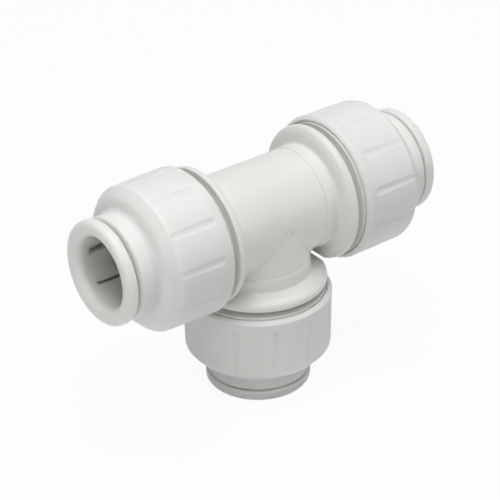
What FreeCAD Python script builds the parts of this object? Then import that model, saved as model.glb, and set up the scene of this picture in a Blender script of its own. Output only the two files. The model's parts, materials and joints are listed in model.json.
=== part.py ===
import FreeCAD, Part
import math
import os

# Push-fit tee for 15 mm tube. Millimetres, +Z up, origin at the centre of the
# branch mouth, which is the face that the tee stands on.
# Each port is drawn along its own +X axis: s is the distance from the crossing
# of the three axes, r is the distance from the port's axis.

# Tube and its guides
TUBE_R = 7.5
SOCKET_CLEARANCE = 0.15
GUIDE_CLEARANCE = 0.25
WATERWAY_R = 6.2
TUBE_STOP_S = 8.0

# Tee body
HUB_R = 11.22
HUB_END_S = 10.1
NECK_R = 11.42
NECK_EDGE = 0.12
COLLAR_ROOT_S = 13.1
COLLAR_ROOT_FILLET = 0.5
COLLAR_KNEE_S = 13.5
COLLAR_KNEE_R = 13.6
COLLAR_KNEE_ROUND = 2.5
COLLAR_TOP_S = 14.3
COLLAR_R = 14.95
COLLAR_TOP_ROUND = 1.2
COLLAR_FACE_S = 15.75
COLLAR_FACE_ROUND = 0.35
COLLAR_GAP = 0.7
UNDERCUT_LENGTH = 1.35
UNDERCUT_DEPTH = 2.4
PILOT_STEP = 0.9
PILOT_LENGTH = 1.2
THREAD_CREST_R = 13.9
THREAD_HEIGHT = 0.9
SPIGOT_END_S = 26.4
GATE_MARK_R = 1.0
GATE_MARK_LINE = 0.28
GATE_MARK_DEPTH = 0.14

# Seal and spacer
SEAL_SECTION = 2.62
SEAL_SQUEEZE_ON_TUBE = 0.25
SEAT_CLEARANCE = 0.11
SEAT_FLOOR_S = 20.4
SEAL_FLOOR_GAP = 0.1
SEAL_LOCKED_GAP = 0.1
SPACER_RUNNING_CLEARANCE = 0.08
SPACER_FLANGE_INSET = 0.6
SPACER_FLANGE_THICKNESS = 1.0
SPACER_STOP_GAP = 0.2

# Cap, from its thread outwards: room for the thread on the spigot, then the wall
CAP_BACK_S = 17.55
CAP_THREAD_ROOM = 0.4
CAP_WALL = 1.7
CAP_BACK_CHAMFER_LENGTH = 0.7
CAP_BACK_CHAMFER_DEPTH = 0.6
CAP_MOUTH_EDGE = 0.12
CAP_TAPER = 0.2
CAP_SHOULDER = 13.3
CAP_SHOULDER_ROUND = 1.0
CAP_DOME = 15.35
CAP_DOME_INSET = 2.1
CAP_DOME_ROUND = 3.0
CAP_NOSE_START = 16.2
CAP_NOSE_FILLET = 1.3
CAP_NOSE_WALL = 1.82
CAP_NOSE_EDGE = 0.8
CAP_LENGTH = 20.05
CAP_RUNNING_CLEARANCE = 0.15
CAP_CAVITY_CLEARANCE = 0.25
NOSE_CLEARANCE = 0.15
SHOULDER_CLEARANCE = 0.1
FLUTES = 12
FLUTE_TOOL_R = 2.0
FLUTE_DEPTH = 0.35
FLUTE_START = 1.5

# Locking thread: a quarter turn closes the gap behind the cap
THREAD_LEAD = 5.6
LOCK_TURN = 0.25

# Collet
COLLET_FACE_S = 40.3
COLLET_FLANGE_R = 11.39
COLLET_FLANGE_EDGE = 1.2
COLLET_FLANGE_BACK_EDGE = 0.4
COLLET_FLANGE_GAP = 0.25
COLLET_TUBE_R = 9.25
COLLET_MOUTH_ROUND = 2.0
COLLET_TIP_GAP = 0.6
COLLET_TIP_R = 9.9
COLLET_TIP_LEAD = 0.8
COLLET_HEAD_R = 10.75
COLLET_HEAD_LENGTH = 0.9
CONE_RUN = 1.4
COLLET_TRAVEL = 1.2
GRIP_CLEARANCE = 0.25
SLIT_END_S = 36.7
WIDE_SLIT = 1.9
NARROW_SLIT = 0.65
SLIT_PAIRS = 3
NARROW_FROM_WIDE = 54.0

# Grip teeth
TOOTH_THICKNESS = 0.45
TOOTH_WIDTH = 4.0
TOOTH_ROOT_FROM_TIP = 2.1
TOOTH_ROOT_DEPTH = 0.95
TOOTH_EDGE_FROM_TIP = 0.8
TOOTH_TUBE_GAP = 0.06
TOOTH_CLEARANCE = 0.03
TOOTH_TRIM = 0.5
TOOTH_NOTCH_R = 0.25

# Small rounds on moulded edges
EDGE = 0.3

# How far each cap and collet happens to be turned, in degrees
CAP_CLOCK = {"left": 11.0, "right": 13.0, "branch": 24.0}
COLLET_CLOCK = {"left": 54.0, "right": 20.0, "branch": 75.0}

# How far each collet happens to be drawn out of its cap
COLLET_DRAWN_OUT = {"left": 0.8, "right": 0.0, "branch": 0.0}

# Sizes that follow from the ones above
SOCKET_R = TUBE_R + SOCKET_CLEARANCE
GUIDE_R = TUBE_R + GUIDE_CLEARANCE
SEAL_MINOR_R = SEAL_SECTION / 2
SEAL_MAJOR_R = TUBE_R - SEAL_SQUEEZE_ON_TUBE + SEAL_MINOR_R
SEAT_R = SEAL_MAJOR_R + SEAL_MINOR_R + SEAT_CLEARANCE
SEAL_S = SEAT_FLOOR_S + SEAL_FLOOR_GAP + SEAL_MINOR_R
PILOT_R = THREAD_CREST_R + PILOT_STEP
THREAD_ROOT_R = THREAD_CREST_R - THREAD_HEIGHT
UNDERCUT_R = PILOT_R - UNDERCUT_DEPTH
PILOT_S = COLLAR_FACE_S + UNDERCUT_LENGTH
PILOT_END_S = PILOT_S + PILOT_LENGTH
LOCK_ADVANCE = THREAD_LEAD * LOCK_TURN
SPACER_START_S = SEAL_S + SEAL_MINOR_R + SEAL_LOCKED_GAP + LOCK_ADVANCE
SPACER_FLANGE_S = SPIGOT_END_S + LOCK_ADVANCE + SPACER_STOP_GAP
SPACER_END_S = SPACER_FLANGE_S + SPACER_FLANGE_THICKNESS
SPACER_FLANGE_R = THREAD_ROOT_R - SPACER_FLANGE_INSET
COLLET_TIP_S = SPACER_END_S + COLLET_TIP_GAP
COLLET_HEAD_S = COLLET_TIP_S + COLLET_TIP_LEAD
COLLET_HEAD_END_S = COLLET_HEAD_S + COLLET_HEAD_LENGTH
COLLET_CONE_S = COLLET_HEAD_END_S + (COLLET_HEAD_R - COLLET_TUBE_R) * CONE_RUN
TOOTH_ROOT_S = COLLET_TIP_S + TOOTH_ROOT_FROM_TIP
TOOTH_ROOT_R = COLLET_HEAD_R - TOOTH_ROOT_DEPTH
TOOTH_EDGE_S = COLLET_TIP_S + TOOTH_EDGE_FROM_TIP
CAP_SEAT_S = SPACER_END_S + SHOULDER_CLEARANCE
CAP_NOSE_END_S = CAP_BACK_S + CAP_LENGTH
CAP_THREAD_R = THREAD_CREST_R + CAP_THREAD_ROOM
CAP_R = CAP_THREAD_R + CAP_WALL
CAP_SHOULDER_R = CAP_R - CAP_TAPER
CAP_DOME_R = CAP_R - CAP_DOME_INSET
CAP_CHAMFER_R = CAP_R - CAP_BACK_CHAMFER_DEPTH
CAP_PILOT_R = PILOT_R + CAP_RUNNING_CLEARANCE
CAP_CAVITY_R = COLLET_HEAD_R + CAP_CAVITY_CLEARANCE
NOSE_BORE_R = COLLET_TUBE_R + NOSE_CLEARANCE
CAP_NOSE_R = NOSE_BORE_R + CAP_NOSE_WALL
COLLET_FLANGE_S = CAP_NOSE_END_S + COLLET_FLANGE_GAP
AXIS_HEIGHT = COLLET_FACE_S + COLLET_DRAWN_OUT["branch"]

AXIS = FreeCAD.Vector(1, 0, 0)
ORIGIN = FreeCAD.Vector(0, 0, 0)


def point(s, r):
    return FreeCAD.Vector(s, 0, r)


def rounded_outline(corners):
    """Closed face from corners (s, r, round), each corner with its own radius."""
    edges = []
    count = len(corners)
    joins = []
    for index in range(count):
        s, r, radius = corners[index]
        here = point(s, r)
        before = point(*corners[index - 1][:2]) - here
        after = point(*corners[(index + 1) % count][:2]) - here
        before.normalize()
        after.normalize()
        if radius == 0:
            joins.append((here, None, here))
            continue
        half = before.getAngle(after) / 2
        reach = radius / math.tan(half)
        inward = (before + after).normalize()
        middle = here + inward * (radius / math.sin(half) - radius)
        joins.append((here + before * reach, middle, here + after * reach))
    for index in range(count):
        start, middle, end = joins[index]
        if middle is not None:
            edges.append(Part.Arc(start, middle, end).toShape())
        following = joins[(index + 1) % count][0]
        edges.append(Part.LineSegment(end, following).toShape())
    return Part.Face(Part.Wire(edges))


def turned(corners):
    return rounded_outline(corners).revolve(ORIGIN, AXIS, 360)


def clocked(shape, degrees):
    copy = shape.copy()
    copy.rotate(ORIGIN, AXIS, degrees)
    return copy


def drawn_out(shape, distance):
    copy = shape.copy()
    copy.translate(FreeCAD.Vector(distance, 0, 0))
    return copy


def on_port(shape, port):
    """Move a piece drawn along +X to its port, and up to the run's axis."""
    placed = shape.copy()
    if port == "left":
        placed.rotate(ORIGIN, FreeCAD.Vector(0, 0, 1), 180)
    if port == "branch":
        placed.rotate(ORIGIN, FreeCAD.Vector(0, 1, 0), 90)
    placed.translate(FreeCAD.Vector(0, 0, AXIS_HEIGHT))
    return placed


# Tee body

def arm():
    """Outside of one arm, solid down to its axis."""
    return turned([
        (0, 0, 0),
        (0, HUB_R, 0),
        (HUB_END_S, HUB_R, 0),
        (HUB_END_S, NECK_R, NECK_EDGE),
        (COLLAR_ROOT_S, NECK_R, COLLAR_ROOT_FILLET),
        (COLLAR_KNEE_S, COLLAR_KNEE_R, COLLAR_KNEE_ROUND),
        (COLLAR_TOP_S, COLLAR_R, COLLAR_TOP_ROUND),
        (COLLAR_FACE_S, COLLAR_R, COLLAR_FACE_ROUND),
        (COLLAR_FACE_S, UNDERCUT_R, 0),
        (PILOT_S, UNDERCUT_R, 0),
        (PILOT_S, PILOT_R, 0),
        (PILOT_END_S, PILOT_R, 0),
        (PILOT_END_S + PILOT_R - THREAD_ROOT_R, THREAD_ROOT_R, 0),
        (SPIGOT_END_S, THREAD_ROOT_R, EDGE),
        (SPIGOT_END_S, 0, 0),
    ])


def bore():
    """Waterway, tube socket and seal seat of one arm."""
    lead_in = SPIGOT_END_S - 2 * EDGE
    return turned([
        (0, 0, 0),
        (0, WATERWAY_R, 0),
        (TUBE_STOP_S, WATERWAY_R, 0),
        (TUBE_STOP_S, SOCKET_R, 0),
        (SEAT_FLOOR_S, SOCKET_R, 0),
        (SEAT_FLOOR_S, SEAT_R, 0),
        (lead_in, SEAT_R, 0),
        (SPIGOT_END_S, SEAT_R + EDGE, 0),
        (SPIGOT_END_S + 1, SEAT_R + EDGE, 0),
        (SPIGOT_END_S + 1, 0, 0),
    ])


def gate_mark():
    """Ring left by the moulding gate, sunk in the front of the hub."""
    toward_front = FreeCAD.Vector(0, 1, 0)
    start = FreeCAD.Vector(0, -HUB_R - 1, 0)
    depth = 1 + GATE_MARK_DEPTH
    ring = Part.makeCylinder(GATE_MARK_R, depth, start, toward_front)
    return ring.cut(Part.makeCylinder(GATE_MARK_R - GATE_MARK_LINE, depth, start, toward_front))


def collar_gap(angle):
    """Cut across the corner between two arms, which keeps their collars apart."""
    plate = Part.makeBox(COLLAR_R, 2 * COLLAR_R, COLLAR_GAP)
    corner = math.sqrt(2) * COLLAR_ROOT_S
    plate.translate(FreeCAD.Vector(corner, -COLLAR_R, -COLLAR_GAP / 2))
    plate.rotate(ORIGIN, FreeCAD.Vector(0, 1, 0), angle)
    plate.translate(FreeCAD.Vector(0, 0, AXIS_HEIGHT))
    return plate


def tee_body():
    ports = ("left", "right", "branch")
    outside = [on_port(arm(), port) for port in ports]
    inside = [on_port(bore(), port) for port in ports]
    body = outside[0].fuse(outside[1:]).removeSplitter()
    body = body.cut(inside[0].fuse(inside[1:]))
    body = body.cut([collar_gap(45), collar_gap(135)])
    mark = gate_mark()
    mark.translate(FreeCAD.Vector(0, 0, AXIS_HEIGHT))
    return body.cut(mark)


# Seal and spacer

def o_ring():
    return Part.makeTorus(SEAL_MAJOR_R, SEAL_MINOR_R, point(SEAL_S, 0), AXIS)


def spacer():
    guide_r = SEAT_R - SPACER_RUNNING_CLEARANCE
    return turned([
        (SPACER_START_S, GUIDE_R, EDGE),
        (SPACER_START_S, guide_r, EDGE),
        (SPACER_FLANGE_S, guide_r, 0),
        (SPACER_FLANGE_S, SPACER_FLANGE_R, 0),
        (SPACER_END_S, SPACER_FLANGE_R, EDGE),
        (SPACER_END_S, GUIDE_R, EDGE),
    ])


# Screw cap

def cone_start_s():
    """Where the cap's inner cone meets the nose bore: the legs reach it at full travel."""
    return COLLET_CONE_S - NOSE_CLEARANCE * CONE_RUN + COLLET_TRAVEL + GRIP_CLEARANCE


def cap_blank():
    pilot_bore_end = PILOT_END_S + LOCK_ADVANCE + CAP_RUNNING_CLEARANCE
    cone_end = cone_start_s() - (CAP_CAVITY_R - NOSE_BORE_R) * CONE_RUN
    flange_pocket_r = SPACER_FLANGE_R + EDGE
    return turned([
        (CAP_BACK_S, CAP_PILOT_R, CAP_MOUTH_EDGE),
        (CAP_BACK_S, CAP_CHAMFER_R, CAP_MOUTH_EDGE),
        (CAP_BACK_S + CAP_BACK_CHAMFER_LENGTH, CAP_R, EDGE),
        (CAP_BACK_S + CAP_SHOULDER, CAP_SHOULDER_R, CAP_SHOULDER_ROUND),
        (CAP_BACK_S + CAP_DOME, CAP_DOME_R, CAP_DOME_ROUND),
        (CAP_BACK_S + CAP_NOSE_START, CAP_NOSE_R, CAP_NOSE_FILLET),
        (CAP_NOSE_END_S, CAP_NOSE_R, CAP_NOSE_EDGE),
        (CAP_NOSE_END_S, NOSE_BORE_R, EDGE),
        (cone_start_s(), NOSE_BORE_R, 0),
        (cone_end, CAP_CAVITY_R, 0),
        (CAP_SEAT_S, CAP_CAVITY_R, 0),
        (CAP_SEAT_S, flange_pocket_r, 0),
        (SPACER_FLANGE_S, flange_pocket_r, 0),
        (SPACER_FLANGE_S, CAP_THREAD_R, 0),
        (pilot_bore_end + CAP_PILOT_R - CAP_THREAD_R, CAP_THREAD_R, 0),
        (pilot_bore_end, CAP_PILOT_R, 0),
    ])


def flute_tool():
    """A round-ended groove cutter that lies along the cap, sunk by the flute's depth."""
    start = CAP_BACK_S + FLUTE_START + FLUTE_TOOL_R
    height = CAP_R - FLUTE_DEPTH + FLUTE_TOOL_R
    length = CAP_BACK_S + CAP_LENGTH - start
    groove = Part.makeCylinder(FLUTE_TOOL_R, length, point(start, height), AXIS)
    return groove.fuse(Part.makeSphere(FLUTE_TOOL_R, point(start, height)))


def cap(clock):
    step = 360.0 / FLUTES
    tool = flute_tool()
    grooves = [clocked(tool, clock - 90 + index * step) for index in range(FLUTES)]
    return cap_blank().cut(grooves)


# Collet and its teeth

def collet_blank():
    return turned([
        (COLLET_TIP_S, GUIDE_R, EDGE),
        (COLLET_TIP_S, COLLET_TIP_R, 0),
        (COLLET_HEAD_S, COLLET_HEAD_R, 0),
        (COLLET_HEAD_END_S, COLLET_HEAD_R, 0),
        (COLLET_CONE_S, COLLET_TUBE_R, 0),
        (COLLET_FLANGE_S, COLLET_TUBE_R, 0),
        (COLLET_FLANGE_S, COLLET_FLANGE_R, COLLET_FLANGE_BACK_EDGE),
        (COLLET_FACE_S, COLLET_FLANGE_R, COLLET_FLANGE_EDGE),
        (COLLET_FACE_S, GUIDE_R, COLLET_MOUTH_ROUND),
    ])


def slit(width):
    """A slot from the leg tips to the slit's end, on one side of the axis."""
    length = SLIT_END_S - COLLET_TIP_S + 1
    box = Part.makeBox(length, width, COLLET_HEAD_R + 1)
    box.translate(FreeCAD.Vector(COLLET_TIP_S - 1, -width / 2, 0))
    return box


def leg_angles():
    """Middle of each leg, in degrees from the first wide slit."""
    pitch = 360.0 / SLIT_PAIRS
    wide_half = math.degrees(WIDE_SLIT / 2 / GUIDE_R)
    narrow_half = math.degrees(NARROW_SLIT / 2 / GUIDE_R)
    before = (wide_half + NARROW_FROM_WIDE - narrow_half) / 2
    after = (NARROW_FROM_WIDE + narrow_half + pitch - wide_half) / 2
    angles = []
    for pair in range(SLIT_PAIRS):
        angles.append(pair * pitch + before)
        angles.append(pair * pitch + after)
    return angles


def tooth_plate(grown):
    """A raked plate in the leg; grown is the clearance that its seat adds on each side."""
    tip_r = TUBE_R - TOOTH_TRIM
    rake = point(TOOTH_EDGE_S - TOOTH_ROOT_S, tip_r - TOOTH_ROOT_R)
    rake.normalize()
    across = FreeCAD.Vector(-rake.z, 0, rake.x)
    half = across * (TOOTH_THICKNESS / 2 + grown)
    root = point(TOOTH_ROOT_S, TOOTH_ROOT_R) - rake * grown
    tip = point(TOOTH_EDGE_S, tip_r)
    corners = [root + half, tip + half, tip - half, root - half, root + half]
    width = TOOTH_WIDTH + 2 * grown
    face = Part.Face(Part.makePolygon(corners))
    plate = face.extrude(FreeCAD.Vector(0, width, 0))
    plate.translate(FreeCAD.Vector(0, -width / 2, 0))
    return plate


def grip_tooth():
    """The plate with its edge curved to the tube and notched into three points."""
    reach = 2 * TOOTH_WIDTH
    start = point(TOOTH_EDGE_S - reach, 0)
    edge = Part.makeCylinder(TUBE_R + TOOTH_TUBE_GAP, 2 * reach, start, AXIS)
    tooth = tooth_plate(0).cut(edge)
    side = TOOTH_WIDTH / 6
    for place in (-side, side):
        notch = Part.makeCylinder(TOOTH_NOTCH_R, 2 * reach, start, AXIS)
        notch.translate(FreeCAD.Vector(0, place, TUBE_R + TOOTH_TUBE_GAP))
        tooth = tooth.cut(notch)
    return tooth


def collet():
    pitch = 360.0 / SLIT_PAIRS
    cuts = []
    for pair in range(SLIT_PAIRS):
        cuts.append(clocked(slit(WIDE_SLIT), pair * pitch))
        cuts.append(clocked(slit(NARROW_SLIT), pair * pitch + NARROW_FROM_WIDE))
    seat = tooth_plate(TOOTH_CLEARANCE)
    for angle in leg_angles():
        cuts.append(clocked(seat, angle))
    return collet_blank().cut(cuts)


def save(shape, name):
    shape.exportStep("parts/" + name + ".step")


def build():
    os.makedirs("parts", exist_ok=True)
    save(tee_body(), "tee_body")
    plain_collet = collet()
    tooth = grip_tooth()
    for port in ("left", "right", "branch"):
        turn = COLLET_CLOCK[port] - 90
        out = COLLET_DRAWN_OUT[port]
        save(on_port(cap(CAP_CLOCK[port]), port), "cap_" + port)
        save(on_port(drawn_out(clocked(plain_collet, turn), out), port), "collet_" + port)
        save(on_port(spacer(), port), "spacer_" + port)
        save(on_port(o_ring(), port), "o_ring_" + port)
        for index, angle in enumerate(leg_angles()):
            name = "grip_tooth_" + port + "_" + str(index + 1)
            save(on_port(drawn_out(clocked(tooth, turn + angle), out), port), name)


build()
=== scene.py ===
import json
import math

import bmesh
import bpy
from mathutils import Matrix, Vector


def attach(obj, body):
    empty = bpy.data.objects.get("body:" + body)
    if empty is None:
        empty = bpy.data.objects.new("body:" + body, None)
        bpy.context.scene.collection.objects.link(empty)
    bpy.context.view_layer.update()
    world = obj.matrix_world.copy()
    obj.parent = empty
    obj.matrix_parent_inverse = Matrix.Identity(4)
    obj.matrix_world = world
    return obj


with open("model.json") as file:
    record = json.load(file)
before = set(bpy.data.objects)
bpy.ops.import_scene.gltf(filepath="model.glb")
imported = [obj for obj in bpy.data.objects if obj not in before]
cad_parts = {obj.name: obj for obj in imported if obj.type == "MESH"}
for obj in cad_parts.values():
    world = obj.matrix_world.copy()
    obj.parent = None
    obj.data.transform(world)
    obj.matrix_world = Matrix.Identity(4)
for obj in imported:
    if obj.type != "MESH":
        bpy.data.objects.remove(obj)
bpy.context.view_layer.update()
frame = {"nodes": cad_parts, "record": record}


# The tee body is one satin off-white moulding with three equal arms. The grain of
# the mould leaves a very fine matt skin, slightly uneven in tone where the melt met.
MM = 0.001
BODY_LIGHT = (0.815, 0.812, 0.790)
BODY_DARK = (0.790, 0.787, 0.764)
BODY_ROUGHNESS = 0.40
BODY_GRAIN_DEPTH = 0.006 * MM
GRAIN_PER_METRE = 7000.0
GRAIN_STRENGTH = 0.6
DRIFT_PER_METRE = 55.0
DRIFT_LOW = 0.3
DRIFT_HIGH = 0.7
PATCHES_PER_METRE = 420.0
ROUGHNESS_SPREAD = 0.06
NOISE_MIDDLE = 0.5
PLASTIC_IOR = 1.48


def moulded_skin_group():
    """Shared look of every moulded piece: fine grain, slow drift of tone and patches of gloss."""
    group = bpy.data.node_groups.new("moulded_skin", "ShaderNodeTree")
    sockets = group.interface
    sockets.new_socket("Position", in_out="INPUT", socket_type="NodeSocketVector")
    for name, value in (("Grain per Metre", GRAIN_PER_METRE), ("Drift per Metre", DRIFT_PER_METRE),
                        ("Patches per Metre", PATCHES_PER_METRE), ("Mean Roughness", BODY_ROUGHNESS),
                        ("Roughness Spread", ROUGHNESS_SPREAD)):
        sockets.new_socket(name, in_out="INPUT", socket_type="NodeSocketFloat").default_value = value
    for name in ("Light Tone", "Dark Tone"):
        sockets.new_socket(name, in_out="INPUT", socket_type="NodeSocketColor")
    sockets.new_socket("Colour", in_out="OUTPUT", socket_type="NodeSocketColor")
    sockets.new_socket("Roughness", in_out="OUTPUT", socket_type="NodeSocketFloat")
    sockets.new_socket("Height", in_out="OUTPUT", socket_type="NodeSocketFloat")
    nodes, link = group.nodes, group.links.new
    given = nodes.new("NodeGroupInput")
    result = nodes.new("NodeGroupOutput")

    def noise(scale_name, detail, roughness):
        made = nodes.new("ShaderNodeTexNoise")
        made.inputs["Detail"].default_value = detail
        made.inputs["Roughness"].default_value = roughness
        link(given.outputs["Position"], made.inputs["Vector"])
        link(given.outputs[scale_name], made.inputs["Scale"])
        return made.outputs["Fac"]

    drift = nodes.new("ShaderNodeMapRange")
    drift.inputs["From Min"].default_value = DRIFT_LOW
    drift.inputs["From Max"].default_value = DRIFT_HIGH
    link(noise("Drift per Metre", detail=3.0, roughness=0.55), drift.inputs["Value"])
    tone = nodes.new("ShaderNodeMix")
    tone.data_type = "RGBA"
    link(drift.outputs["Result"], tone.inputs["Factor"])
    link(given.outputs["Dark Tone"], tone.inputs["A"])
    link(given.outputs["Light Tone"], tone.inputs["B"])
    link(tone.outputs["Result"], result.inputs["Colour"])

    centred = nodes.new("ShaderNodeMath")
    centred.operation = "SUBTRACT"
    centred.inputs[1].default_value = NOISE_MIDDLE
    link(noise("Patches per Metre", detail=4.0, roughness=0.6), centred.inputs[0])
    patches = nodes.new("ShaderNodeMath")
    patches.operation = "MULTIPLY_ADD"
    link(centred.outputs[0], patches.inputs[0])
    link(given.outputs["Roughness Spread"], patches.inputs[1])
    link(given.outputs["Mean Roughness"], patches.inputs[2])
    link(patches.outputs[0], result.inputs["Roughness"])

    link(noise("Grain per Metre", detail=2.0, roughness=0.5), result.inputs["Height"])
    return group


moulded_skin = moulded_skin_group()


def moulded_plastic(name, light, dark, roughness, grain_depth, grain_per_metre=GRAIN_PER_METRE, seep=0.0):
    """A satin moulded material between two tones. Light seeps into it as deep as seep says."""
    material = bpy.data.materials.new(name)
    material.use_nodes = True
    nodes, link = material.node_tree.nodes, material.node_tree.links.new
    shader = nodes["Principled BSDF"]
    place = nodes.new("ShaderNodeTexCoord")
    skin = nodes.new("ShaderNodeGroup")
    skin.node_tree = moulded_skin
    skin.inputs["Light Tone"].default_value = (*light, 1.0)
    skin.inputs["Dark Tone"].default_value = (*dark, 1.0)
    skin.inputs["Mean Roughness"].default_value = roughness
    skin.inputs["Grain per Metre"].default_value = grain_per_metre
    link(place.outputs["Object"], skin.inputs["Position"])
    link(skin.outputs["Colour"], shader.inputs["Base Color"])
    link(skin.outputs["Roughness"], shader.inputs["Roughness"])
    bump = nodes.new("ShaderNodeBump")
    bump.inputs["Strength"].default_value = GRAIN_STRENGTH
    bump.inputs["Distance"].default_value = grain_depth
    link(skin.outputs["Height"], bump.inputs["Height"])
    link(bump.outputs["Normal"], shader.inputs["Normal"])
    shader.inputs["IOR"].default_value = PLASTIC_IOR
    if seep:
        shader.inputs["Subsurface Weight"].default_value = 1.0
        shader.inputs["Subsurface Radius"].default_value = (1.0, 1.0, 1.0)
        shader.inputs["Subsurface Scale"].default_value = seep
    return material


body_plastic = moulded_plastic("body plastic", BODY_LIGHT, BODY_DARK, BODY_ROUGHNESS, BODY_GRAIN_DEPTH)
frame["nodes"]["tee_body"].material_slots[0].material = body_plastic


# Where the branch meets the run the mould has a small hollow blend, which runs down
# from the front of the hub, round under each arm's neck and up again at the back.
run_mouth = next(mount for mount in frame["record"]["mounts"] if mount["name"] == "tube_port_right")
RUN_HEIGHT = run_mouth["pos_m"][2]
HUB_R = 11.22 * MM
HUB_END = 10.1 * MM
NECK_R = 11.42 * MM
BLEND_R = 1.3 * MM
BLEND_START = 1.5 * MM
BLEND_SINK = 0.35 * MM
BLEND_STATIONS = 40
BLEND_ARC = 9


def blend_ring(angle, arm_r, side):
    """One section across the blend: the arc between both arms, closed inside the wall."""
    reach = arm_r + BLEND_R
    along, y = reach * math.sin(angle), -reach * math.cos(angle)
    centre = Vector((side * along, y, -along))
    share = arm_r / reach
    on_run = Vector((side * along, y * share, -along * share)) - centre
    on_branch = Vector((side * along * share, y * share, -along)) - centre
    opening = on_run.angle(on_branch)
    ring = []
    for step in range(BLEND_ARC):
        turn = opening * step / (BLEND_ARC - 1)
        from_centre = on_run * math.sin(opening - turn) + on_branch * math.sin(turn)
        ring.append(centre + from_centre / math.sin(opening))
    corner = (on_run + on_branch).normalized()
    ring.append(centre + corner * (BLEND_R / math.cos(opening / 2) + BLEND_SINK))
    return [point + Vector((0, 0, RUN_HEIGHT)) for point in ring]


def blend_angles(arm_r, first_depth, last_depth):
    """Even steps of angle as the blend's centre goes from one depth below the run's axis to another."""
    reach = arm_r + BLEND_R
    first, last = math.asin(first_depth / reach), math.asin(min(last_depth / reach, 1.0))
    return [first + (last - first) * step / BLEND_STATIONS for step in range(BLEND_STATIONS + 1)]


def closed_tube(name, rings, material):
    """Mesh through closed rings of equal length, with both ends filled."""
    mesh = bpy.data.meshes.new(name)
    build = bmesh.new()
    rows = [[build.verts.new(point) for point in ring] for ring in rings]
    count = len(rows[0])
    for row, following in zip(rows, rows[1:]):
        for index in range(count):
            other = (index + 1) % count
            build.faces.new((row[index], row[other], following[other], following[index]))
    build.faces.new(rows[0])
    build.faces.new(rows[-1])
    bmesh.ops.recalc_face_normals(build, faces=build.faces)
    for face in build.faces:
        face.smooth = True
    build.to_mesh(mesh)
    build.free()
    mesh.materials.append(material)
    piece = bpy.data.objects.new(name, mesh)
    bpy.context.scene.collection.objects.link(piece)
    return piece


for side, side_name in ((-1, "left"), (1, "right")):
    on_hub = [(angle, HUB_R) for angle in blend_angles(HUB_R, BLEND_START, HUB_END)]
    on_neck = [(angle, NECK_R) for angle in blend_angles(NECK_R, HUB_END, NECK_R + BLEND_R)]
    # leaving out the stations next to the hub's end makes an even ramp over its step
    front = on_hub[:-2] + on_neck[2:]
    back = [(math.pi - angle, arm_r) for angle, arm_r in reversed(front[:-1])]
    rings = [blend_ring(angle, arm_r, side) for angle, arm_r in front + back]
    blend = closed_tube("saddle_blend_" + side_name, rings, body_plastic)
    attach(blend, "fitting")


# Each spigot carries a two-start right-hand thread, moulded with the body, that the
# cap locks on with a quarter turn. The ridges run out smoothly at both ends.
PORTS = ("left", "right", "branch")
PORT_TILT = {"left": -90, "right": 90, "branch": 180}  # degrees about Y, from +Z
joints = {joint["name"]: joint for joint in frame["record"]["behaviour"]["joints"]}
lock_advance = joints["cap_advance_right"]["range_m"][1]
lock_turn = math.radians(joints["cap_turn_right"]["range_deg"][1])
THREAD_LEAD = lock_advance * math.tau / lock_turn
THREAD_STARTS = 2
# the ridges are rooted 0.05 mm inside the wall that carries them
SPIGOT_RIDGE_ROOT = 12.95 * MM
SPIGOT_RIDGE_HEIGHT = 1.0 * MM
SPIGOT_RIDGE_START = 21.4 * MM
SPIGOT_RIDGE_LENGTH = 4.4 * MM
RIDGE_ROOT_WIDTH = 1.25 * MM
RIDGE_CREST_WIDTH = 0.55 * MM
RUN_OUT_SHARE = 0.08
LEAST_SWELL = 0.12
POINTS_PER_TURN = 72
WELD_DISTANCE = 0.001 * MM


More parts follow.
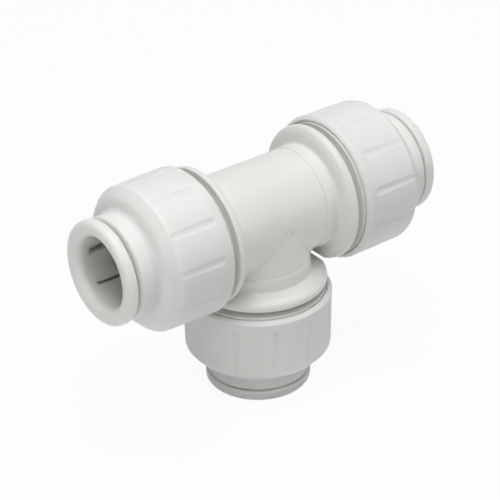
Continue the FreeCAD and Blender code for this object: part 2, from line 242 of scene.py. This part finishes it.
def thread_tree():
    """Ridges of a thread round +Z: a trapezoid swept along a helix, once for each start."""
    tree = bpy.data.node_groups.new("thread_ridges", "GeometryNodeTree")
    sockets = tree.interface
    for name in ("Lead", "Length", "Root Radius", "Ridge Height", "Root Width", "Crest Width", "Run Out",
                 "Start Along Axis", "Start Angle"):
        sockets.new_socket(name, in_out="INPUT", socket_type="NodeSocketFloat")
    sockets.new_socket("Starts", in_out="INPUT", socket_type="NodeSocketInt")
    sockets.new_socket("Material", in_out="INPUT", socket_type="NodeSocketMaterial")
    sockets.new_socket("Geometry", in_out="OUTPUT", socket_type="NodeSocketGeometry")
    nodes, link = tree.nodes, tree.links.new
    given = nodes.new("NodeGroupInput").outputs

    def fill(inputs, values):
        for socket, value in zip(inputs, values):
            if isinstance(value, (int, float)):
                socket.default_value = value
            else:
                link(value, socket)

    def math_node(operation, first, second):
        made = nodes.new("ShaderNodeMath")
        made.operation = operation
        fill(made.inputs, (first, second))
        return made.outputs[0]

    def vector(x=0.0, y=0.0, z=0.0):
        made = nodes.new("ShaderNodeCombineXYZ")
        fill(made.inputs, (x, y, z))
        return made.outputs[0]

    helix = nodes.new("GeometryNodeCurveSpiral")
    helix.inputs["Resolution"].default_value = POINTS_PER_TURN
    helix.inputs["Reverse"].default_value = True
    link(math_node("DIVIDE", given["Length"], given["Lead"]), helix.inputs["Rotations"])
    link(given["Root Radius"], helix.inputs["Start Radius"])
    link(given["Root Radius"], helix.inputs["End Radius"])
    link(given["Length"], helix.inputs["Height"])
    upright = nodes.new("GeometryNodeSetCurveNormal")
    upright.mode = "Z_UP"
    link(helix.outputs["Curve"], upright.inputs["Curve"])

    profile = nodes.new("GeometryNodeCurvePrimitiveQuadrilateral")
    profile.mode = "POINTS"
    half_root = math_node("MULTIPLY", given["Root Width"], 0.5)
    half_crest = math_node("MULTIPLY", given["Crest Width"], 0.5)
    corners = ((0.0, half_root), (given["Ridge Height"], half_crest),
               (given["Ridge Height"], math_node("MULTIPLY", half_crest, -1.0)),
               (0.0, math_node("MULTIPLY", half_root, -1.0)))
    for number, (out, along) in enumerate(corners, 1):
        link(vector(out, along), profile.inputs["Point " + str(number)])

    place = nodes.new("GeometryNodeSplineParameter").outputs["Factor"]
    to_end = math_node("MINIMUM", place, math_node("SUBTRACT", 1.0, place))
    swell = math_node("MINIMUM", math_node("DIVIDE", to_end, given["Run Out"]), 1.0)
    sweep = nodes.new("GeometryNodeCurveToMesh")
    sweep.inputs["Fill Caps"].default_value = True
    link(upright.outputs["Curve"], sweep.inputs["Curve"])
    link(profile.outputs["Curve"], sweep.inputs["Profile Curve"])
    link(math_node("MAXIMUM", swell, LEAST_SWELL), sweep.inputs["Scale"])

    starts = nodes.new("GeometryNodePoints")
    link(given["Starts"], starts.inputs["Count"])
    link(vector(z=given["Start Along Axis"]), starts.inputs["Position"])
    spacing = math_node("DIVIDE", math.tau, given["Starts"])
    index = nodes.new("GeometryNodeInputIndex").outputs[0]
    turn = math_node("ADD", math_node("MULTIPLY", index, spacing), given["Start Angle"])
    copies = nodes.new("GeometryNodeInstanceOnPoints")
    link(starts.outputs[0], copies.inputs["Points"])
    link(sweep.outputs["Mesh"], copies.inputs["Instance"])
    link(vector(z=turn), copies.inputs["Rotation"])
    real = nodes.new("GeometryNodeRealizeInstances")
    link(copies.outputs["Instances"], real.inputs["Geometry"])
    coloured = nodes.new("GeometryNodeSetMaterial")
    link(real.outputs["Geometry"], coloured.inputs["Geometry"])
    link(given["Material"], coloured.inputs["Material"])
    link(coloured.outputs["Geometry"], nodes.new("NodeGroupOutput").inputs[0])
    return tree


thread_ridges = thread_tree()


def ridges_on_port(name, port, sizes, material):
    """The ridges as one plain mesh, turned from +Z to the port and set at the run's height."""
    carrier = bpy.data.objects.new(name + "_source", bpy.data.meshes.new(name + "_source"))
    bpy.context.scene.collection.objects.link(carrier)
    modifier = carrier.modifiers.new("ridges", "NODES")
    modifier.node_group = thread_ridges
    wanted = {**sizes, "Material": material}
    for item in thread_ridges.interface.items_tree:
        if item.in_out == "INPUT":
            modifier[item.identifier] = wanted[item.name]
    seen = carrier.evaluated_get(bpy.context.evaluated_depsgraph_get())
    mesh = bpy.data.meshes.new_from_object(seen)
    carrier.modifiers.remove(modifier)
    bpy.data.objects.remove(carrier)
    mesh.name = name
    tilt = Matrix.Rotation(math.radians(PORT_TILT[port]), 4, "Y")
    mesh.transform(Matrix.Translation((0, 0, RUN_HEIGHT)) @ tilt)
    build = bmesh.new()
    build.from_mesh(mesh)
    bmesh.ops.remove_doubles(build, verts=build.verts, dist=WELD_DISTANCE)
    bmesh.ops.recalc_face_normals(build, faces=build.faces)
    build.to_mesh(mesh)
    build.free()
    piece = bpy.data.objects.new(name, mesh)
    bpy.context.scene.collection.objects.link(piece)
    return piece


SPIGOT_RIDGES = {"Lead": THREAD_LEAD, "Length": SPIGOT_RIDGE_LENGTH, "Root Radius": SPIGOT_RIDGE_ROOT,
                 "Ridge Height": SPIGOT_RIDGE_HEIGHT, "Root Width": RIDGE_ROOT_WIDTH,
                 "Crest Width": RIDGE_CREST_WIDTH, "Run Out": RUN_OUT_SHARE,
                 "Start Along Axis": SPIGOT_RIDGE_START, "Start Angle": 0.0, "Starts": THREAD_STARTS}

for port in PORTS:
    ridges = ridges_on_port("spigot_thread_" + port, port, SPIGOT_RIDGES, body_plastic)
    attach(ridges, "fitting")


# The fluted caps are screwed on by hand. They come from another mould than the body,
# a shade lighter and slightly translucent, with the mating ridges inside.
CAP_LIGHT = (0.842, 0.840, 0.824)
CAP_DARK = (0.820, 0.818, 0.800)
CAP_ROUGHNESS = 0.44
CAP_GRAIN_DEPTH = 0.005 * MM
CAP_SEEP = 1.5 * MM
CAP_RIDGE_ROOT = 14.35 * MM
CAP_RIDGE_HEIGHT = -1.0 * MM
CAP_RIDGE_START = 22.6 * MM
CAP_RIDGE_LENGTH = 4.7 * MM
RIDGE_PITCH = THREAD_LEAD / THREAD_STARTS

# the cap's ridges run midway between the spigot's
CAP_START_ANGLE = (CAP_RIDGE_START - SPIGOT_RIDGE_START - RIDGE_PITCH / 2) / THREAD_LEAD * math.tau
CAP_RIDGES = {**SPIGOT_RIDGES, "Length": CAP_RIDGE_LENGTH, "Root Radius": CAP_RIDGE_ROOT,
              "Ridge Height": CAP_RIDGE_HEIGHT, "Start Along Axis": CAP_RIDGE_START,
              "Start Angle": CAP_START_ANGLE}

cap_plastic = moulded_plastic("cap plastic", CAP_LIGHT, CAP_DARK, CAP_ROUGHNESS, CAP_GRAIN_DEPTH,
                              seep=CAP_SEEP)
for port in PORTS:
    frame["nodes"]["cap_" + port].material_slots[0].material = cap_plastic
    ridges = ridges_on_port("cap_thread_" + port, port, CAP_RIDGES, cap_plastic)
    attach(ridges, "cap_" + port)


# The collets slide in the cap noses. They are a harder, slicker plastic that lets some
# light through, and their cones meet the cap's cone to close on the tube.
COLLET_LIGHT = (0.822, 0.819, 0.798)
COLLET_DARK = (0.800, 0.797, 0.775)
COLLET_ROUGHNESS = 0.34
COLLET_GRAIN_DEPTH = 0.004 * MM
COLLET_GRAIN_PER_METRE = 9000.0
COLLET_SEEP = 2.2 * MM

collet_plastic = moulded_plastic("collet plastic", COLLET_LIGHT, COLLET_DARK, COLLET_ROUGHNESS,
                                 COLLET_GRAIN_DEPTH, COLLET_GRAIN_PER_METRE, COLLET_SEEP)
for port in PORTS:
    frame["nodes"]["collet_" + port].material_slots[0].material = collet_plastic


# The spacer rings between cap and seal are plain mouldings that are never seen in
# use, so their skin is left matt from the mould.
SPACER_LIGHT = (0.795, 0.793, 0.770)
SPACER_DARK = (0.765, 0.763, 0.740)
SPACER_ROUGHNESS = 0.48
SPACER_GRAIN_DEPTH = 0.007 * MM
SPACER_GRAIN_PER_METRE = 6000.0

spacer_plastic = moulded_plastic("spacer plastic", SPACER_LIGHT, SPACER_DARK, SPACER_ROUGHNESS,
                                 SPACER_GRAIN_DEPTH, SPACER_GRAIN_PER_METRE)
for port in PORTS:
    frame["nodes"]["spacer_" + port].material_slots[0].material = spacer_plastic


# The seals are moulded rings of black rubber, lightly greased so that the tube slides
# through. Each lies loose in its seat between the body and the spacer.
RUBBER_LIGHT = (0.028, 0.028, 0.029)
RUBBER_DARK = (0.012, 0.012, 0.013)
RUBBER_ROUGHNESS = 0.46
RUBBER_GRAIN_DEPTH = 0.008 * MM
RUBBER_GRAIN_PER_METRE = 5000.0

seal_rubber = moulded_plastic("seal rubber", RUBBER_LIGHT, RUBBER_DARK, RUBBER_ROUGHNESS,
                              RUBBER_GRAIN_DEPTH, RUBBER_GRAIN_PER_METRE)
for port in PORTS:
    frame["nodes"]["o_ring_" + port].material_slots[0].material = seal_rubber


# The grip teeth are stamped from thin stainless strip and held in the collet's legs.
# Rolling leaves fine lines on the strip, which differ a little in tone and gloss.
TEETH = 6
STEEL_LIGHT = (0.66, 0.65, 0.63)
STEEL_DARK = (0.50, 0.49, 0.475)
STEEL_SMOOTHEST = 0.24
STEEL_ROUGHEST = 0.42
LINES_PER_METRE = (9000.0, 9000.0, 900.0)
LINE_DETAIL = 3.0
LINE_DEPTH = 0.003 * MM
LINE_STRENGTH = 0.5


def rolled_steel():
    """Stainless strip: noise drawn out into lines, which set tone, roughness and bump alike."""
    material = bpy.data.materials.new("grip steel")
    material.use_nodes = True
    nodes, link = material.node_tree.nodes, material.node_tree.links.new
    shader = nodes["Principled BSDF"]
    place = nodes.new("ShaderNodeTexCoord")
    drawn_out = nodes.new("ShaderNodeMapping")
    drawn_out.inputs["Scale"].default_value = LINES_PER_METRE
    link(place.outputs["Object"], drawn_out.inputs["Vector"])
    lines = nodes.new("ShaderNodeTexNoise")
    lines.inputs["Scale"].default_value = 1.0
    lines.inputs["Detail"].default_value = LINE_DETAIL
    link(drawn_out.outputs["Vector"], lines.inputs["Vector"])
    tone = nodes.new("ShaderNodeMix")
    tone.data_type = "RGBA"
    tone.inputs["A"].default_value = (*STEEL_DARK, 1.0)
    tone.inputs["B"].default_value = (*STEEL_LIGHT, 1.0)
    link(lines.outputs["Fac"], tone.inputs["Factor"])
    link(tone.outputs["Result"], shader.inputs["Base Color"])
    roughness = nodes.new("ShaderNodeMapRange")
    roughness.inputs["To Min"].default_value = STEEL_SMOOTHEST
    roughness.inputs["To Max"].default_value = STEEL_ROUGHEST
    link(lines.outputs["Fac"], roughness.inputs["Value"])
    link(roughness.outputs["Result"], shader.inputs["Roughness"])
    bump = nodes.new("ShaderNodeBump")
    bump.inputs["Strength"].default_value = LINE_STRENGTH
    bump.inputs["Distance"].default_value = LINE_DEPTH
    link(lines.outputs["Fac"], bump.inputs["Height"])
    link(bump.outputs["Normal"], shader.inputs["Normal"])
    shader.inputs["Metallic"].default_value = 1.0
    return material


grip_steel = rolled_steel()
for port in PORTS:
    for number in range(1, TEETH + 1):
        tooth = frame["nodes"]["grip_tooth_" + port + "_" + str(number)]
        tooth.material_slots[0].material = grip_steel


# The tee stands on a pale floor that keeps a soft shadow, with plain white behind it.
# Floor and sky glow only for the eye, and hardly light the tee themselves.
FLOOR_HALF = 3.0
FLOOR_TONE = (0.84, 0.84, 0.84, 1.0)
FLOOR_ROUGHNESS = 0.9
FLOOR_GLOW = 0.94
SKY_TONE = (1.0, 1.0, 1.0, 1.0)
SKY_LEVEL = 0.015


def seen_directly(nodes, link):
    """1 for what the camera, a gloss or a clear surface shows, 0 for what lights the object."""
    path = nodes.new("ShaderNodeLightPath")
    most = path.outputs["Is Camera Ray"]
    for name in ("Is Glossy Ray", "Is Transmission Ray"):
        either = nodes.new("ShaderNodeMath")
        either.operation = "MAXIMUM"
        link(most, either.inputs[0])
        link(path.outputs[name], either.inputs[1])
        most = either.outputs[0]
    return most


floor_mesh = bpy.data.meshes.new("floor")
floor_corners = [(x * FLOOR_HALF, y * FLOOR_HALF, 0.0) for x, y in ((-1, -1), (1, -1), (1, 1), (-1, 1))]
floor_mesh.from_pydata(floor_corners, [], [(0, 1, 2, 3)])
floor = bpy.data.objects.new("floor", floor_mesh)
bpy.context.scene.collection.objects.link(floor)
floor_paint = bpy.data.materials.new("floor paint")
floor_paint.use_nodes = True
nodes, link = floor_paint.node_tree.nodes, floor_paint.node_tree.links.new
matt = nodes["Principled BSDF"]
matt.inputs["Base Color"].default_value = FLOOR_TONE
matt.inputs["Roughness"].default_value = FLOOR_ROUGHNESS
matt.inputs["Specular IOR Level"].default_value = 0.0
glow = nodes.new("ShaderNodeEmission")
blended = nodes.new("ShaderNodeMixShader")
share = nodes.new("ShaderNodeMath")
share.operation = "MULTIPLY"
share.inputs[1].default_value = FLOOR_GLOW
link(seen_directly(nodes, link), share.inputs[0])
link(share.outputs[0], blended.inputs["Fac"])
link(matt.outputs["BSDF"], blended.inputs[1])
link(glow.outputs["Emission"], blended.inputs[2])
link(blended.outputs["Shader"], nodes["Material Output"].inputs["Surface"])
floor_mesh.materials.append(floor_paint)

world = bpy.data.worlds.new("studio")
bpy.context.scene.world = world
world.use_nodes = True
nodes, link = world.node_tree.nodes, world.node_tree.links.new
sky = nodes["Background"]
sky.inputs["Color"].default_value = SKY_TONE
level = nodes.new("ShaderNodeMapRange")
level.inputs["To Min"].default_value = SKY_LEVEL
level.inputs["To Max"].default_value = 1.0
link(seen_directly(nodes, link), level.inputs["Value"])
link(level.outputs["Result"], sky.inputs["Strength"])


# The light is soft studio light: one large panel overhead, a weaker one above the
# camera, and two small ones low at the left and right. All of them face the tee.
AIM = Vector((0.0, 0.0, 30 * MM))


def panel(name, place, size, watts):
    data = bpy.data.lights.new(name, "AREA")
    data.shape = "SQUARE"
    data.size = size
    data.energy = watts
    lamp = bpy.data.objects.new(name, data)
    lamp.location = place
    lamp.rotation_euler = (AIM - Vector(place)).to_track_quat("-Z", "Y").to_euler()
    bpy.context.scene.collection.objects.link(lamp)


panel("overhead panel", place=(0.0, 0.0, 0.75), size=0.60, watts=4.10)
panel("camera fill", place=(-0.25, -0.33, 0.62), size=0.45, watts=1.30)
panel("left fill", place=(-0.30, -0.05, 0.10), size=0.20, watts=0.14)
panel("right fill", place=(0.45, -0.50, 0.30), size=0.40, watts=0.64)


# The camera stands to the left of the tee's front and looks down on it, with the
# photograph's long lens and its slight roll.
CAMERA_PLACE = (-279.52 * MM, -361.38 * MM, 296.88 * MM)
CAMERA_AZIMUTH = math.radians(-37.529)
CAMERA_ELEVATION = math.radians(30.174)
CAMERA_ROLL = math.radians(-0.545)
FOCAL_PIXELS = 2483.1
PHOTO_PIXELS = 500
SENSOR_WIDTH = 36.0
NEAREST_SEEN = 20 * MM

camera_data = bpy.data.cameras.new("camera")
camera_data.sensor_width = SENSOR_WIDTH
camera_data.lens = FOCAL_PIXELS / PHOTO_PIXELS * SENSOR_WIDTH
camera_data.clip_start = NEAREST_SEEN
camera = bpy.data.objects.new("camera", camera_data)
camera.matrix_world = (Matrix.Translation(CAMERA_PLACE)
                       @ Matrix.Rotation(CAMERA_AZIMUTH, 4, "Z")
                       @ Matrix.Rotation(math.pi / 2 - CAMERA_ELEVATION, 4, "X")
                       @ Matrix.Rotation(CAMERA_ROLL, 4, "Z"))
bpy.context.scene.collection.objects.link(camera)
bpy.context.scene.camera = camera
bpy.context.scene.view_settings.view_transform = "Standard"
